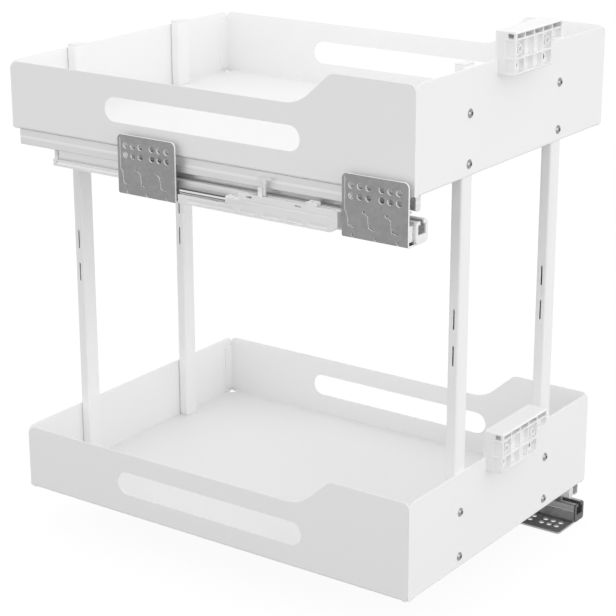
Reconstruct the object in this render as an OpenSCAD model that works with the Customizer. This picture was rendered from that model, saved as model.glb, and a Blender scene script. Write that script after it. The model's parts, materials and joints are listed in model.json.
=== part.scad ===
// Two-tier pull-out basket for a base cabinet.
// Two folded sheet-steel trays hang on four tubular posts. The whole basket
// runs on two concealed full-extension slides: one under the left edge of the
// upper tray, carried by brackets on the cabinet wall, and its mirror image
// under the right edge of the lower tray, carried by brackets on the floor.
//
// Origin: on the cabinet's left wall, in the middle of the hole pattern of the
// front wall bracket, level with the underside of the upper tray.
// +X to the right, +Y to the back of the cabinet, +Z up.

/* [Cabinet fit] */
// Gap between the cabinet wall and the side of a tray
side_gap = 8; // [7:0.5:12]
// Middle of the front brackets, behind the front face of the trays
bracket_setback = 36; // [36:1:44]
// Distance from the front brackets to the rear brackets
bracket_pitch = 260; // [225:5:290]

/* [Trays] */
// Outer width of a tray
tray_w = 350; // [310:5:500]
// Outer depth of a tray
tray_d = 475; // [460:5:520]
// Height of the front wall
front_h = 100; // [90:1:130]
// Height of the rear wall and of the low part of the side walls
side_h = 68; // [60:1:80]
// Thickness of the sheet
sheet = 1.2; // [1:0.1:1.6]
// Outer radius of the folds
fold_r = 2.5; // [2:0.1:4]
// Underside of the lower tray to underside of the upper tray
tier_pitch = 389; // [300:1:450]
// Radius of the free upper corners of the walls
corner_r = 8; // [3:0.5:12]
// Radius of the lower corners of the walls
heel_r = 3; // [1:0.5:5]
// Length of a fold that is left open at each corner
relief = 7; // [5:0.5:10]
// Width of the welding flanges behind the corners
flange_w = 12; // [6:1:20]

/* [Swept sides] */
// Distance from the front face to the foot of the sweep
sweep_foot = 140; // [125:1:170]
// Slope of the straight part of the sweep, in degrees
sweep_angle = 42; // [35:1:50]
// Radius at the foot of the sweep
foot_r = 40; // [20:1:45]
// Radius at the crest of the sweep
crest_r = 12; // [5:1:15]

/* [Side slots] */
// Length of a side slot
slot_len = 230; // [120:5:260]
// Height of a side slot
slot_h = 24; // [16:1:28]
// Middle of a side slot above the underside of the tray
slot_z = 35.5; // [30:0.5:40]

/* [Posts] */
// Width of a post, from side to side
post_w = 18; // [14:0.5:24]
// Depth of a post, from front to back
post_d = 12; // [10:0.5:16]
// Wall of the post's tube
post_wall = 1.2; // [1:0.1:1.8]
// Outer corner radius of the post's tube
post_r = 2.5; // [2:0.1:4]
// Side of the tray to the middle of a post
post_in = 91.5; // [78:0.5:100]
// Height of a post's tube above the wall that it stands against
post_over = 2.8; // [1:0.2:6]
// Length of a slot in the posts
post_slot_len = 20; // [12:1:28]
// Width of a slot in the posts
post_slot_w = 1.6; // [1.4:0.1:4]
// Distance between the two slots of a post
post_slot_pitch = 36; // [32:1:50]
// Middle between the two slots, above the underside of the lower tray
post_slot_z = 236; // [130:1:260]
// Thickness of a post cap above the tube
cap_t = 1.2; // [0.8:0.1:2]

/* [Screws] */
// Lower screw above the underside of a tray
screw_low = 12; // [10:0.5:16]
// Upper screws below the top of the rear wall
screw_under = 9.5; // [9:0.5:20]
// Thread diameter of a post screw
screw_d = 4.8; // [4:0.1:5.5]
// Diameter of a post screw's head
head_d = 9; // [8:0.1:10]
// Height of a post screw's head
head_h = 2.2; // [1.8:0.1:3]
// Width across flats of the socket in the head
socket_af = 3; // [2.5:0.1:4]

/* [Slide rails] */
// Side of the tray to the middle of the slide
slide_in = 11; // [10:0.5:11]
// Outer width of the outer and inner rails
rail_w = 19; // [18.8:0.1:19.2]
// Thickness of the rails
rail_t = 1.5; // [1.4:0.05:1.6]
// Height of the rail under the tray
drawer_rail_h = 16; // [15.5:0.5:19]
// Gap between the rail under the tray and the rail on the brackets
rail_gap = 6; // [4:0.5:8]
// Height of the rail on the brackets
cabinet_rail_h = 20; // [19.5:0.5:24]
// Half of the opening between the lips of a rail
mouth_half = 4; // [3:0.1:5]
// Diameter of a bearing ball
ball_d = 4; // [3.8:0.1:4.1]
// Clearance between a ball and its races
ball_clear = 0.25; // [0.2:0.01:0.3]
// Height of a flange of the middle rail
race_h = 7; // [6.5:0.1:7.5]
// Half of the width of the middle rail
race_half = 5; // [4.8:0.1:5.1]
// Thickness of the web of the middle rail
web_t = 3; // [2:0.2:4]
// Length of the rail on the brackets
cabinet_rail_len = 330.5; // [328:0.5:350]
// Length of the middle rail
middle_rail_len = 404; // [390:1:410]
// Front end of the middle rail behind the front face of the trays
middle_start = 20; // [18:0.5:30]
// Length of the ball cages
cage_len = 195; // [150:1:198]
// Number of balls in each row of a cage
balls_per_row = 7; // [4:1:9]

/* [Brackets] */
// Length of a bracket along the cabinet wall
bracket_w = 70; // [66:1:72]
// Thickness of a bracket
bracket_t = 2; // [1.8:0.1:2.2]
// Height of a wall bracket above the underside of the upper tray
bracket_up = 15; // [12:0.5:19]
// Outer radius of the bracket's fold
bracket_fold_r = 3; // [2.5:0.1:4]
// Radius of the free corners of a bracket
bracket_corner_r = 5; // [2:0.5:8]
// Width of a wall bracket's shelf
shelf_w = 30; // [29:0.5:34]
// Width of a floor bracket
floor_bracket_w = 54; // [50:1:70]
// Diameter of a mounting hole
hole_d = 6; // [5:0.1:6.4]
// Distance between the two rows of mounting holes
hole_rows = 9.5; // [9:0.1:12]
// Middle of the bracket to its first column of holes
hole_first = 7; // [5:0.5:7.5]
// Distance between columns of holes
hole_pitch = 9; // [8.5:0.1:9.5]
// Width of the hook slits
slit_w = 1.2; // [0.8:0.1:1.6]

/* [Soft close] */
// Front end of the soft-close housing behind the front face of the trays
closer_start = 77; // [76:0.5:80]
// Length of the full-height part of the housing
closer_len = 111; // [108:1:114]
// Thickness of the housing, from side to side
closer_w = 7.4; // [7.2:0.1:7.5]
// Diameter of the damper's tube
damper_d = 5.8; // [5:0.1:6]
// Towing lug behind the front face of the trays
lug_y = 160; // [158:0.5:162]
// Thickness of the towing lug
lug_t = 1.6; // [1.2:0.1:2]

/* [Front fixings] */
// Width of a front fixing
fixing_w = 87; // [80:1:100]
// Middle of a front fixing to the right of the middle of the tray
fixing_shift = 7; // [0:0.5:10]
// Depth of a front fixing in front of the wall
fixing_d = 18; // [14:0.5:22]
// Height of a front fixing
fixing_h = 40; // [38:1:44]
// Top of a front fixing above the top of the front wall
fixing_over = 26; // [25:0.5:28]
// Wall thickness of a front fixing
fixing_t = 2; // [1.6:0.1:2.2]
// Number of cells across a front fixing
fixing_cells = 5; // [4:1:6]
// Depth of the cells
cell_d = 6; // [4:0.5:8]
// Height of the row of open cells under the top plate
top_cell_h = 4.5; // [3:0.5:6]
// Height of the last cell's bottom above the edge of the front wall
step_over = 8; // [6:0.5:10]
// Diameter of a door screw hole
door_hole_d = 4.2; // [3.5:0.1:5]

/* [Hidden] */
$fn = 64;
eps = 0.01;

// Colours
white_paint = [0.93, 0.93, 0.92];
white_plastic = [0.96, 0.96, 0.95];
galvanised = [0.52, 0.53, 0.54];
light_zinc = [0.80, 0.81, 0.82];
dark_zinc = [0.34, 0.35, 0.36];
dark_plastic = [0.20, 0.20, 0.21];
bright_steel = [0.72, 0.73, 0.75];
screw_steel = [0.30, 0.30, 0.31];

// Clearances
post_clear = 0.3;
plug_clear = 0.15;
hole_clear = 0.25;
thread_clear = 0.05;
rivet_clear = 0.05;
wall_gap = 0.2;
screw_room = 0.6;
cage_clear = 0.1;

// Trays
rear_y = tray_d - sheet;
post_front_y = sheet;
post_rear_y = rear_y - post_d;
left_post_x = post_in;
right_post_x = tray_w - post_in;
screw_high = side_h - screw_under;
relief_hole_r = 4;
relief_hole_in = sheet + relief_hole_r + 0.3;
sweep_rise = front_h - side_h;
sweep_bottom = [
  sweep_foot - foot_r * sin(sweep_angle),
  side_h + foot_r * (1 - cos(sweep_angle))
];
crest_drop = crest_r * (1 - cos(sweep_angle));
sweep_run = (front_h - crest_drop - sweep_bottom[1]) / tan(sweep_angle);
sweep_top = [sweep_bottom[0] - sweep_run, front_h - crest_drop];
crest_centre = [sweep_top[0] - crest_r * sin(sweep_angle), front_h - crest_r];

// Posts
lower_post_foot = fold_r + wall_gap;
front_post_top = tier_pitch + front_h + post_over;
rear_post_top = tier_pitch + side_h + post_over;
cap_plug_len = screw_under + post_over - screw_d / 2 - screw_room;
foot_plug_len = screw_low - screw_d / 2 - lower_post_foot - screw_room;
tube_r = post_r - post_wall;

// Slides, measured down from the underside of the tray
cabinet_rail_top = -(drawer_rail_h + rail_gap);
cabinet_rail_bottom = cabinet_rail_top - cabinet_rail_h;
bracket_bottom = cabinet_rail_bottom - bracket_t;
race_from_lip = 8;
drawer_race_z = race_from_lip - drawer_rail_h;
cabinet_race_z = cabinet_rail_top - race_from_lip;
mirror_z = (drawer_race_z + cabinet_race_z) / 2;
groove_r = ball_d / 2 + ball_clear;
ball_x = (race_half + rail_w / 2 - rail_t) / 2 - 0.2;
bulge_r = groove_r + 1.1;
cage_t = 1;
cage_ear = 3;
cage_drop = race_h / 2 + 0.7;
rail_start = 0.5;
drawer_rail_start = 6.5;
end_tab_from = 1.5;
drawer_rail_end = tray_d - 8;
outer_cage_start = 115;
cage_stagger = 25;
inner_cage_start = outer_cage_start + cage_stagger;
cage_end = 10;
ball_pitch = (cage_len - 2 * cage_end) / (balls_per_row - 1);
rail_cap_t = 2;
rail_cap_plug = 4;
stop_len = 4;

// Brackets, in the frame of the slide that they carry
wall_x = -(side_gap + slide_in);
bracket_middle = bracket_setback;
rivet_r = 2;
rivet_head_r = 3.2;
rivet_head_h = 1.1;
rivet_offset = 24;
floor_bracket_outer = slide_in + 2;
floor_hole_x = floor_bracket_w - floor_bracket_outer - 14;
clamp_l = 8;
clamp_in = 1;
clamp_lift = 2.6;
clamp_drop = 3;
clamp_clear = 0.15;
notch_h = 4.5;
notch_w = 1.6;
notch_pitch = 24;
long_slit_w = 0.8;
long_slit_in = 3;
slit_rows = [31.5, 12, -12];
slit_top = -18;
slit_lean = [2.6, 5, 5];
slit_mid = -33;

// Soft close
closer_inner = -(rail_w / 2 + 0.45);
closer_outer = closer_inner - closer_w;
closer_mid = (closer_inner + closer_outer) / 2;
closer_channel = 4.2;
closer_top = cabinet_rail_top;
closer_bottom = cabinet_rail_bottom - 1;
closer_end = closer_start + closer_len;
closer_tail_end = bracket_setback + bracket_pitch - bracket_w / 2 - 1.5;
closer_cap_len = 15;
closer_lead = 6;
closer_bump = 23;
closer_bump_len = 12;
clip_front = 40;
clip_rear = 16;
pocket_count = 4;
pocket_pitch = (closer_len - closer_lead) / pocket_count;
pocket_len = pocket_pitch - 7;
pocket_h = 3.2;
pocket_z = closer_bottom + 2.4;
tail_pocket_len = closer_tail_end - closer_end - 3 * closer_lead;
catch_half = 10;
rod_r = 0.9;
rod_len = 4;
damper_in = 1.5;
closer_axis_z = cabinet_rail_top - 9.5;
closer_tail_top = closer_axis_z - damper_d / 2 - 0.1;
bore_clear = 0.1;
pocket_depth = 1;
groove_depth = 0.5;
catch_w = closer_channel - 0.4;
lug_w = 3;
lug_bottom = closer_top + 0.2;
prong_top = cabinet_rail_top + 7.8;

// Front fixings, in the frame of their middle on the front face of the wall
fixing_x = tray_w / 2 + fixing_shift;
fixing_half = fixing_w / 2;
fixing_top = front_h + fixing_over;
fixing_bottom = fixing_top - fixing_h;
fixing_edge_r = 1.5;
leg_y = sheet + 0.3;
leg_back = leg_y + fixing_t;
leg_h = 13;
saddle_z = front_h + wall_gap;
top_rib_z = fixing_top - fixing_t - top_cell_h - fixing_t;
step_z = front_h + step_over;
rib_back = 0.8;
web_y = cell_d - fixing_d;
cell_w = (fixing_w - fixing_t) / fixing_cells;
first_cell_x = (cell_w + fixing_t) / 2 - fixing_half;
screw_cells = [first_cell_x, first_cell_x + (fixing_cells - 2) * cell_w];
door_hole_z = (saddle_z + fixing_t + top_rib_z) / 2;
door_boss_r = door_hole_d / 2 + 2;
wall_screw_d = 3.8;
wall_screw_head_d = 7;
wall_screw_head_h = 1.6;
wall_screw_z = (fixing_bottom + fixing_t + saddle_z) / 2;
wall_boss_r = wall_screw_d / 2 + 2;
side_pocket = 0.8;

// ---- placing -------------------------------------------------------------

// The frame of a tray: its left outer face, front outer face and underside.
module at_upper_tray() {
  translate([side_gap, -bracket_setback, 0]) children();
}

module at_lower_tray() {
  translate([side_gap, -bracket_setback, -tier_pitch]) children();
}

// The frame of a slide: its middle plane, the tray's front face and underside.
module at_upper_slide() {
  at_upper_tray() translate([slide_in, 0, 0]) children();
}

module at_lower_slide() {
  at_lower_tray() translate([tray_w - slide_in, 0, 0]) mirror([1, 0, 0]) children();
}

// Extrudes an outline drawn in X and Z along +Y.
module along_y(start, length) {
  translate([0, start + length, 0]) rotate([90, 0, 0]) linear_extrude(length) children();
}

// Extrudes an outline drawn in Y and Z along +X.
module along_x(start, length) {
  translate([start, 0, 0]) rotate([90, 0, 90]) linear_extrude(length) children();
}

// ---- outlines ------------------------------------------------------------

// A rectangle from [0, 0] with round corners.
module round_rect(size, r) {
  translate([r, 0]) square([size[0] - 2 * r, size[1]]);
  translate([0, r]) square([size[0], size[1] - 2 * r]);
  for (x = [r, size[0] - r], y = [r, size[1] - r]) translate([x, y]) circle(r);
}

// What is cut away to round the corner at [0, 0], towards +X and +Y.
module corner_cut(r) {
  difference() {
    translate([-1, -1]) square(r + 1);
    translate([r, r]) circle(r);
  }
}

// A slot with round ends, centred, its length along X.
module slot_outline(length, width) {
  square([length - width, width], center = true);
  for (side = [-1, 1]) translate([side * (length - width) / 2, 0]) circle(width / 2);
}

function unit(v) = v / norm(v);

// The point beside points[i] on a line that keeps the distance off from the path.
function beside(points, i, off) =
  let (last = len(points) - 1)
  let (ahead = unit(points[min(i + 1, last)] - points[min(i, last - 1)]))
  let (behind = unit(points[max(i, 1)] - points[max(i, 1) - 1]))
  let (middle = unit(ahead + behind))
  points[i] + [-middle[1], middle[0]] * off / (middle * ahead);

// A stroke with mitred bends and round ends through the points.
module stroke(points, width) {
  last = len(points) - 1;
  polygon([
    for (i = [0 : last]) beside(points, i, width / 2),
    for (i = [last : -1 : 0]) beside(points, i, -width / 2)
  ]);
  for (i = [0, last]) translate(points[i]) circle(width / 2);
}

// ---- trays ---------------------------------------------------------------

// Side wall seen from the side: low at the back, swept up to the front wall.
module side_wall_outline() {
  difference() {
    union() {
      polygon([
        [sheet, 0], [rear_y, 0], [rear_y, side_h], [sweep_foot, side_h],
        sweep_bottom, sweep_top, [crest_centre[0], sweep_top[1]], [sheet, sweep_top[1]]
      ]);
      translate([sheet, side_h]) square([crest_centre[0] - sheet, sweep_rise]);
      translate(crest_centre) circle(crest_r);
    }
    translate([sweep_foot, side_h + foot_r]) circle(foot_r);
    translate([sheet, 0]) corner_cut(heel_r);
    translate([rear_y, 0]) mirror([1, 0]) corner_cut(heel_r);
    translate([rear_y, side_h]) rotate(180) corner_cut(corner_r);
    translate([sheet, front_h]) mirror([0, 1]) corner_cut(corner_r * 0.6);
    translate([tray_d / 2, slot_z]) slot_outline(slot_len, slot_h);
  }
}

// Front or rear wall seen from the front.
module end_wall_outline(height) {
  difference() {
    square([tray_w, height]);
    corner_cut(heel_r);
    translate([tray_w, 0]) mirror([1, 0]) corner_cut(heel_r);
    translate([0, height]) mirror([0, 1]) corner_cut(corner_r);
    translate([tray_w, height]) rotate(180) corner_cut(corner_r);
    for (x = [left_post_x, right_post_x], z = [screw_low, screw_high])
      translate([x, z]) circle(screw_d / 2 + hole_clear);
  }
}

// A quarter ring: the section of a fold between a wall at 0 and the floor.
module fold_outline() {
  intersection() {
    square(fold_r);
    translate([fold_r, fold_r]) difference() {
      circle(fold_r);
      circle(fold_r - sheet);
    }
  }
}

// Front wall, drilled as well for the screws of the front fixing.
module front_wall_outline() {
  difference() {
    end_wall_outline(front_h);
    for (x = screw_cells) translate([fixing_x + x, wall_screw_z])
      circle(wall_screw_d / 2 + hole_clear);
  }
}

// The floor, its folds and the relief holes at its corners.
module tray_floor() {
  fold_len_x = tray_w - 2 * relief;
  fold_len_y = tray_d - 2 * relief;
  difference() {
    union() {
      translate([fold_r, fold_r, 0]) cube([tray_w - 2 * fold_r, tray_d - 2 * fold_r, sheet]);
      along_y(relief, fold_len_y) fold_outline();
      along_y(relief, fold_len_y) translate([tray_w, 0]) mirror([1, 0]) fold_outline();
      along_x(relief, fold_len_x) fold_outline();
      along_x(relief, fold_len_x) translate([tray_d, 0]) mirror([1, 0]) fold_outline();
    }
    for (x = [0, 1], y = [0, 1])
      translate([x * tray_w, y * tray_d, 0]) mirror([x, 0, 0]) mirror([0, y, 0])
        translate([relief_hole_in, relief_hole_in, -1]) {
          cylinder(r = relief_hole_r, h = fold_r + 2);
          translate([-relief_hole_in - 1, -relief_hole_in - 1, 0])
            cube([relief_hole_in + 1, relief_hole_in + 1, fold_r + 2]);
        }
  }
}

// The four walls, open below where the folds run.
module tray_walls() {
  difference() {
    union() {
      along_x(0, sheet) side_wall_outline();
      along_x(tray_w - sheet, sheet) side_wall_outline();
      along_y(0, sheet) front_wall_outline();
      along_y(rear_y, sheet) end_wall_outline(side_h);
    }
    translate([-1, relief, -1]) cube([tray_w + 2, tray_d - 2 * relief, fold_r + 1]);
    translate([relief, -1, -1]) cube([tray_w - 2 * relief, tray_d + 2, fold_r + 1]);
  }
}

// Welding flanges of the side walls behind the front and rear walls.
module corner_flanges() {
  for (x = [0, 1]) translate([x * tray_w, 0, 0]) mirror([x, 0, 0]) {
    translate([sheet, sheet, fold_r + 2]) cube([flange_w, sheet, front_h - corner_r - fold_r - 4]);
    translate([sheet, rear_y - sheet, fold_r + 2])
      cube([flange_w, sheet, side_h - corner_r - fold_r - 4]);
  }
}

module tray() {
  tray_floor();
  tray_walls();
  corner_flanges();
}

// Openings in the upper tray's floor that the posts pass through.
module post_openings() {
  for (x = [left_post_x, right_post_x]) {
    translate([x - post_w / 2 - post_clear, sheet, -1])
      cube([post_w + 2 * post_clear, post_d + post_clear, fold_r + 1.5]);
    translate([x - post_w / 2 - post_clear, post_rear_y - post_clear, -1])
      cube([post_w + 2 * post_clear, post_d + post_clear, fold_r + 1.5]);
  }
}

module upper_tray() {
  color(white_paint) at_upper_tray() difference() {
    tray();
    post_openings();
  }
}

module lower_tray() {
  color(white_paint) at_lower_tray() tray();
}

// ---- posts ---------------------------------------------------------------

module tube_outline(inset, r) {
  translate([-post_w / 2 + inset, inset]) round_rect([post_w - 2 * inset, post_d - 2 * inset], r);
}

// A post in the lower tray's frame; back = 1 turns its screws to the rear wall.
module post(x, y, top, back) {
  at_lower_tray() translate([x, y, 0]) difference() {
    translate([0, 0, lower_post_foot]) linear_extrude(top - lower_post_foot) difference() {
      tube_outline(0, post_r);
      tube_outline(post_wall, tube_r);
    }
    for (side = [-1, 1])
      along_x(-post_w / 2 - 1, post_wall + 1.5)
        translate([post_d / 2, post_slot_z + side * post_slot_pitch / 2])
          rotate(90) slot_outline(post_slot_len, post_slot_w);
    for (z = [screw_low, screw_high, tier_pitch + screw_low, tier_pitch + screw_high])
      translate([0, back * (post_d - post_wall) - 0.5, z]) rotate([-90, 0, 0])
        cylinder(d = screw_d + 2 * thread_clear, h = post_wall + 1);
  }
}

module post_front_left() {
  color(white_paint) post(left_post_x, post_front_y, front_post_top, 0);
}

module post_front_right() {
  color(white_paint) post(right_post_x, post_front_y, front_post_top, 0);
}

module post_rear_left() {
  color(white_paint) post(left_post_x, post_rear_y, rear_post_top, 1);
}

module post_rear_right() {
  color(white_paint) post(right_post_x, post_rear_y, rear_post_top, 1);
}

// A plug for an open end of a post: it hangs below z = 0, its flange above.
module post_plug(flange, depth) {
  inset = post_wall + plug_clear;
  linear_extrude(flange) tube_outline(0.2, post_r - 0.2);
  translate([0, 0, -depth]) linear_extrude(depth) difference() {
    tube_outline(inset, tube_r);
    tube_outline(inset + 1.2, 0.5);
  }
}

module post_caps() {
  color(white_plastic) at_lower_tray() for (x = [left_post_x, right_post_x]) {
    translate([x, post_front_y, front_post_top]) post_plug(cap_t, cap_plug_len);
    translate([x, post_rear_y, rear_post_top]) post_plug(cap_t, cap_plug_len);
  }
}

// The feet stand on the floor, short of the fold along the wall.
module post_feet() {
  foot_h = lower_post_foot - sheet;
  color(white_plastic) at_lower_tray() for (x = [left_post_x, right_post_x], rear = [0, 1]) {
    y = rear ? post_rear_y : post_front_y;
    intersection() {
      translate([x, y, lower_post_foot]) mirror([0, 0, 1]) post_plug(foot_h, foot_plug_len);
      translate([0, fold_r + 0.1, 0]) cube([tray_w, tray_d - 2 * fold_r - 0.2, side_h]);
    }
  }
}

// ---- screws --------------------------------------------------------------

// Button-head screw along +Y, the head's seat at y = 0.
module button_screw(shank, length, head, height, socket) {
  dome_r = (head * head / 4 + height * height) / (2 * height);
  rotate([-90, 0, 0]) {
    cylinder(d = shank, h = length);
    difference() {
      intersection() {
        translate([0, 0, dome_r - height]) sphere(dome_r);
        translate([0, 0, -height]) cylinder(d = head, h = height);
      }
      translate([0, 0, -height - 1]) cylinder(d = socket / cos(30), h = height, $fn = 6);
    }
  }
}

module post_screw() {
  button_screw(screw_d, sheet + post_wall + 2.5, head_d, head_h, socket_af);
}

module screw_set() {
  for (x = [left_post_x, right_post_x], z = [screw_low, screw_high], tier = [0, tier_pitch])
    translate([x, 0, z + tier]) children();
}

module front_screws() {
  color(screw_steel) at_lower_tray() screw_set() post_screw();
}

module rear_screws() {
  color(screw_steel) at_lower_tray() screw_set()
    translate([0, tray_d, 0]) mirror([0, 1, 0]) post_screw();
}

// Screws that clamp the front fixings to the front walls.
module fixing_screws() {
  length = leg_back - web_y + 2;
  color(screw_steel) at_lower_tray() for (x = screw_cells, tier = [0, tier_pitch])
    translate([fixing_x + x, web_y, tier + wall_screw_z])
      button_screw(wall_screw_d, length, wall_screw_head_d, wall_screw_head_h, socket_af * 0.8);
}

// ---- front fixings -------------------------------------------------------

// Side outline of the saddle above the wall and of the box in front of it.
module fixing_outline(bottom) {
  polygon([
    [-fixing_d, bottom], [0, bottom], [0, saddle_z],
    [leg_back, saddle_z], [leg_back, fixing_top], [-fixing_d, fixing_top]
  ]);
}

// Upright and level plates between the cells, set back a little from the rim.
module fixing_ribs() {
  depth = fixing_d - rib_back;
  for (i = [1 : fixing_cells - 1])
    translate([i * cell_w - fixing_half, -depth, fixing_bottom]) cube([fixing_t, depth, fixing_h]);
  for (z = [saddle_z, top_rib_z])
    translate([-fixing_half, -depth, z]) cube([fixing_w, depth, fixing_t]);
}

// What is cut away under the last cell, in front of the wall.
module fixing_step() {
  translate([fixing_half - cell_w, -fixing_d - 1, fixing_bottom - 1])
    cube([cell_w + 1, fixing_d + 1, step_z - fixing_bottom + 1]);
}

// Recesses in the left cheek and the hole under its top front corner.
module cheek_pockets() {
  front = rib_back + fixing_t - fixing_d;
  width = cell_d + fixing_t;
  along_x(-fixing_half - 1, 1 + side_pocket) {
    translate([front, fixing_bottom + fixing_t])
      round_rect([width, saddle_z - fixing_bottom - fixing_t], 1);
    translate([front, saddle_z + fixing_t])
      round_rect([width, top_rib_z - saddle_z - fixing_t], 1);
  }
  along_x(-fixing_half - 1, fixing_t + 2)
    translate([front, top_rib_z + fixing_t]) square([cell_d, top_cell_h]);
}

// Ribbed plastic saddle that hooks over the front wall and carries the door.
module front_fixing() {
  difference() {
    union() {
      difference() {
        union() {
          along_x(-fixing_half, fixing_t) fixing_outline(fixing_bottom);
          translate([-fixing_half, -fixing_d, fixing_bottom]) cube([fixing_w, fixing_d, fixing_t]);
          translate([-fixing_half, web_y, fixing_bottom])
            cube([fixing_w, fixing_t, top_rib_z - fixing_bottom]);
          fixing_ribs();
          for (x = screw_cells) {
            translate([x, web_y, wall_screw_z]) rotate([-90, 0, 0])
              cylinder(r = wall_boss_r, h = -web_y);
            translate([x, -fixing_d + rib_back, door_hole_z]) rotate([-90, 0, 0])
              cylinder(r = door_boss_r, h = fixing_d - rib_back);
          }
        }
        fixing_step();
      }
      along_x(fixing_half - fixing_t, fixing_t) fixing_outline(step_z);
      translate([fixing_half - cell_w, -fixing_d, step_z]) cube([cell_w, fixing_d, fixing_t]);
      // top plate, saddle on the edge of the wall and leg behind it
      translate([-fixing_half, -fixing_d, fixing_top - fixing_t])
        cube([fixing_w, fixing_d + leg_back, fixing_t]);
      translate([-fixing_half, -fixing_t, saddle_z]) cube([fixing_w, fixing_t + leg_back, fixing_t]);
      translate([-fixing_half, leg_y, front_h - leg_h])
        cube([fixing_w, fixing_t, fixing_over + leg_h]);
    }
    cheek_pockets();
    along_x(-fixing_half - 1, fixing_w + 2) {
      translate([-fixing_d, fixing_bottom]) corner_cut(fixing_edge_r);
      translate([-fixing_d, fixing_top]) mirror([0, 1]) corner_cut(fixing_edge_r);
    }
    for (x = screw_cells) {
      translate([x, -fixing_d - 1, door_hole_z]) rotate([-90, 0, 0])
        cylinder(d = door_hole_d, h = fixing_d + 2);
      translate([x, leg_y - 1, door_hole_z]) rotate([-90, 0, 0])
        cylinder(r = door_boss_r, h = fixing_t + 2);
      translate([x, web_y - 1, wall_screw_z]) rotate([-90, 0, 0])
        cylinder(d = wall_screw_d + 2 * thread_clear, h = leg_back - web_y + 2);
    }
  }
}

module upper_front_fixing() {
  color(white_plastic) at_upper_tray() translate([fixing_x, 0, 0]) front_fixing();
}

module lower_front_fixing() {
  color(white_plastic) at_lower_tray() translate([fixing_x, 0, 0]) front_fixing();
}

// ---- slide rails ---------------------------------------------------------

// C-section with its mouth at z = 0, closed above; the races face each other.
module rail_outline(height) {
  half = rail_w / 2;
  difference() {
    union() {
      translate([-half, 0]) round_rect([rail_w, height], rail_t);
      for (side = [-1, 1]) translate([side * ball_x, race_from_lip]) circle(bulge_r);
    }
    translate([-half + rail_t, rail_t]) square([rail_w - 2 * rail_t, height - 2 * rail_t]);
    translate([-mouth_half, -1]) square([2 * mouth_half, rail_t + 2]);
    for (side = [-1, 1]) translate([side * ball_x, race_from_lip]) circle(groove_r);
  }
}

// Rail under the tray. A tab closes the inner half of its front end, and a lug
// near the front tows the soft close.
module drawer_rail() {
  along_y(drawer_rail_start, drawer_rail_end - drawer_rail_start)
    translate([0, -drawer_rail_h]) rail_outline(drawer_rail_h);
  along_y(drawer_rail_start, rail_t) translate([end_tab_from, rail_t / 2 - drawer_rail_h])
    square([(rail_w - rail_t) / 2 - end_tab_from, drawer_rail_h - rail_t]);
  lug_x = closer_mid - lug_t / 2;
  translate([lug_x, lug_y - lug_w / 2, lug_bottom]) cube([lug_t, lug_w, -lug_bottom - 4.5]);
  translate([lug_x, lug_y - 8, -6.5]) cube([-rail_w / 2 - lug_x + rail_t / 2, 16, 2]);
}

// Rail on the brackets, drilled for its rivets.
module cabinet_rail() {
  difference() {
    along_y(rail_start, cabinet_rail_len)
      translate([0, cabinet_rail_top]) mirror([0, 1]) rail_outline(cabinet_rail_h);
    rivet_places() translate([0, 0, cabinet_rail_bottom - 1])
      cylinder(r = rivet_r + rivet_clear, h = rail_t + 2);
  }
}

// I-section that runs in both rails.
module middle_rail() {
  along_y(middle_start, middle_rail_len) difference() {
    union() {
      for (z = [drawer_race_z, cabinet_race_z])
        translate([-race_half, z - race_h / 2]) square([2 * race_half, race_h]);
      translate([-web_t / 2, cabinet_race_z]) square([web_t, drawer_race_z - cabinet_race_z]);
    }
    for (side = [-1, 1], z = [drawer_race_z, cabinet_race_z])
      translate([side * ball_x, z]) circle(groove_r);
  }
}

// Buffer on the back end of the middle rail.
module middle_stop() {
  along_y(middle_start + middle_rail_len, stop_len) {
    translate([-race_half, cabinet_race_z - race_h / 2]) round_rect([2 * race_half, race_h], 1);
    translate([-web_t / 2 - 1, cabinet_race_z])
      square([web_t + 2, drawer_race_z - cabinet_race_z - race_h / 2]);
  }
}

// Front plug of the rail on the brackets, open where the middle rail passes.
module rail_cap() {
  half = rail_w / 2;
  room = race_half + 1.2;
  difference() {
    union() {
      along_y(rail_start - rail_cap_t, rail_cap_t) translate([-half, cabinet_rail_bottom])
        round_rect([rail_w, cabinet_rail_h], 3);
      along_y(rail_start - eps, rail_cap_plug)
        translate([-half + rail_t + plug_clear, cabinet_rail_bottom + rail_t + plug_clear])
          square([rail_w - 2 * (rail_t + plug_clear), 4]);
    }
    along_y(rail_start - rail_cap_t - 1, rail_cap_t + rail_cap_plug + 2) {
      translate([-room, cabinet_race_z - race_h / 2 - 1.1]) square([2 * room, race_h + 2.2]);
      translate([-web_t / 2 - 1.2, cabinet_race_z]) square([web_t + 2.4, cabinet_rail_h]);
    }
  }
}

// Ball cage of the rail on the brackets: a trough with a hole for each ball.
module outer_cage(start) {
  difference() {
    along_y(start, cage_len) difference() {
      translate([-ball_x - cage_t / 2, cabinet_race_z - cage_drop - cage_t])
        square([2 * ball_x + cage_t, cage_drop + cage_t + cage_ear]);
      translate([-ball_x + cage_t / 2, cabinet_race_z - cage_drop])
        square([2 * ball_x - cage_t, cage_drop + cage_ear + 1]);
    }
    ball_places(start) rotate([0, 90, 0])
      cylinder(d = ball_d + 2 * cage_clear, h = 3, center = true);
  }
}

module outer_balls(start) {
  ball_places(start) sphere(d = ball_d);
}

module ball_places(start) {
  for (side = [-1, 1], i = [0 : balls_per_row - 1])
    translate([side * ball_x, start + cage_end + i * ball_pitch, cabinet_race_z]) children();
}

// The same cage turned over, for the rail under the tray.
module turned_over() {
  translate([0, 0, 2 * mirror_z]) mirror([0, 0, 1]) children();
}

module upper_drawer_rail() {
  color(light_zinc) at_upper_slide() drawer_rail();
}

module lower_drawer_rail() {
  color(light_zinc) at_lower_slide() drawer_rail();
}

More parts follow.
